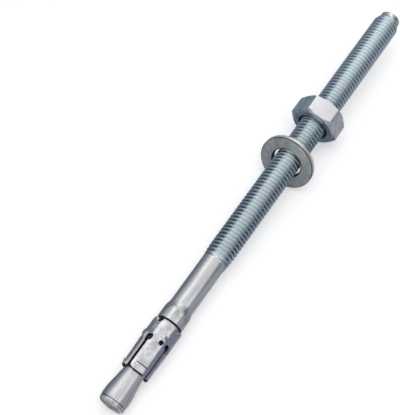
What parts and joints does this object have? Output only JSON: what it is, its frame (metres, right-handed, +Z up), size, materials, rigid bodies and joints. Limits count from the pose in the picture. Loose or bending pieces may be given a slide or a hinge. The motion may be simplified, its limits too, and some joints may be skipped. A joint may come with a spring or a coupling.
{
  "type": "wedge anchor",
  "caption": "Zinc-plated expansion bolt for concrete: threaded stud with an expander cone, slotted clip, loose washer and hexagon nut.",
  "frame": {"origin": "centre of the stud's flat face at the wedge end, on the stud's axis", "axes": "+X along the stud towards the threaded end; +Z up, with the anchor lying on its washer's rim and its wedge end"},
  "size_m": [0.185, 0.021, 0.0203],
  "materials": {
    "stud_zinc": "bright bluish zinc plating on a rolled thread and a cold-formed shank",
    "clip_zinc": "zinc-plated pressed sheet, lightly dented by rolling",
    "washer_zinc": "matt grey zinc plating",
    "nut_zinc": "satin bluish zinc plating"
  },
  "bodies": {
    "stud": {"stud": "stud_zinc"},
    "clip": {"expansion_clip": "clip_zinc"},
    "washer": {"washer": "washer_zinc"},
    "nut": {"hex_nut": "nut_zinc"}
  },
  "joints": [
    {"name": "nut_travel", "type": "slide", "parent": "stud", "child": "nut", "axis": [1, 0, 0], "range_m": [-0.006, 0.0465]},
    {"name": "washer_slide", "type": "slide", "parent": "stud", "child": "washer", "axis": [1, 0, 0], "range_m": [-0.06, 0.006]},
    {"name": "clip_play", "type": "slide", "parent": "stud", "child": "clip", "axis": [1, 0, 0], "range_m": [-0.0006, 0.0006]}
  ]
}
